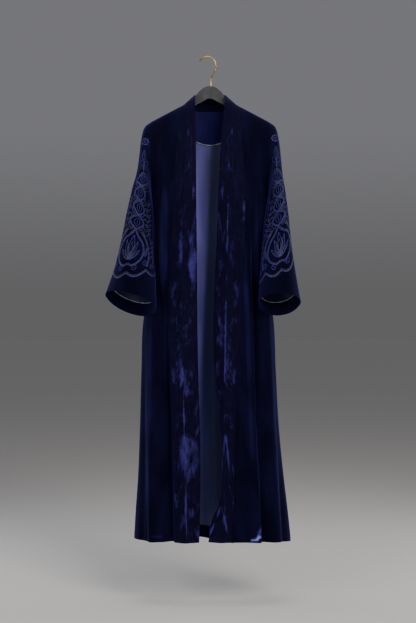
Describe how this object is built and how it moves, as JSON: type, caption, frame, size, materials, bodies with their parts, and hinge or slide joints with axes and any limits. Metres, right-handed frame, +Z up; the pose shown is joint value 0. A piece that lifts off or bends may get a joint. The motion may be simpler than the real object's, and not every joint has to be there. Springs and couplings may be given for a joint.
{
  "type": "abaya on a hanger",
  "caption": "Long velvet abaya, open down the front, with wide front and neck bands, flared sleeves and a satin lining, on a flat board hanger with a wire hook.",
  "frame": {"origin": "inside top of the hanger's hook, where it rests on a rail", "axes": "+Z up, the front faces -Y, +X is the right-hand side as seen from the front"},
  "size_m": [0.6164, 0.2665, 1.5599],
  "materials": {
    "velvet": "navy velvet pile",
    "velvet_band": "navy velvet with the nap pressed and crushed",
    "satin": "slate blue satin",
    "piping": "grey satin cord",
    "hanger_board": "matt charcoal",
    "hook_wire": "gold plated"
  },
  "bodies": {
    "root": {"back": "velvet", "front_left": "velvet", "front_right": "velvet", "sleeve_left": "velvet", "sleeve_right": "velvet", "facing_neck": "velvet", "hem_facing_back": "velvet", "cuff_facing_left": "velvet", "cuff_facing_right": "velvet", "band_left": "velvet_band", "band_right": "velvet_band", "band_neck": "velvet_band", "lining_back": "satin", "sleeve_lining_left": "satin", "sleeve_lining_right": "satin", "piping_neck": "piping", "cuff_piping_left": "piping", "cuff_piping_right": "piping", "hanger": "hanger_board", "hanger_hook": "hook_wire"}
  },
  "joints": []
}
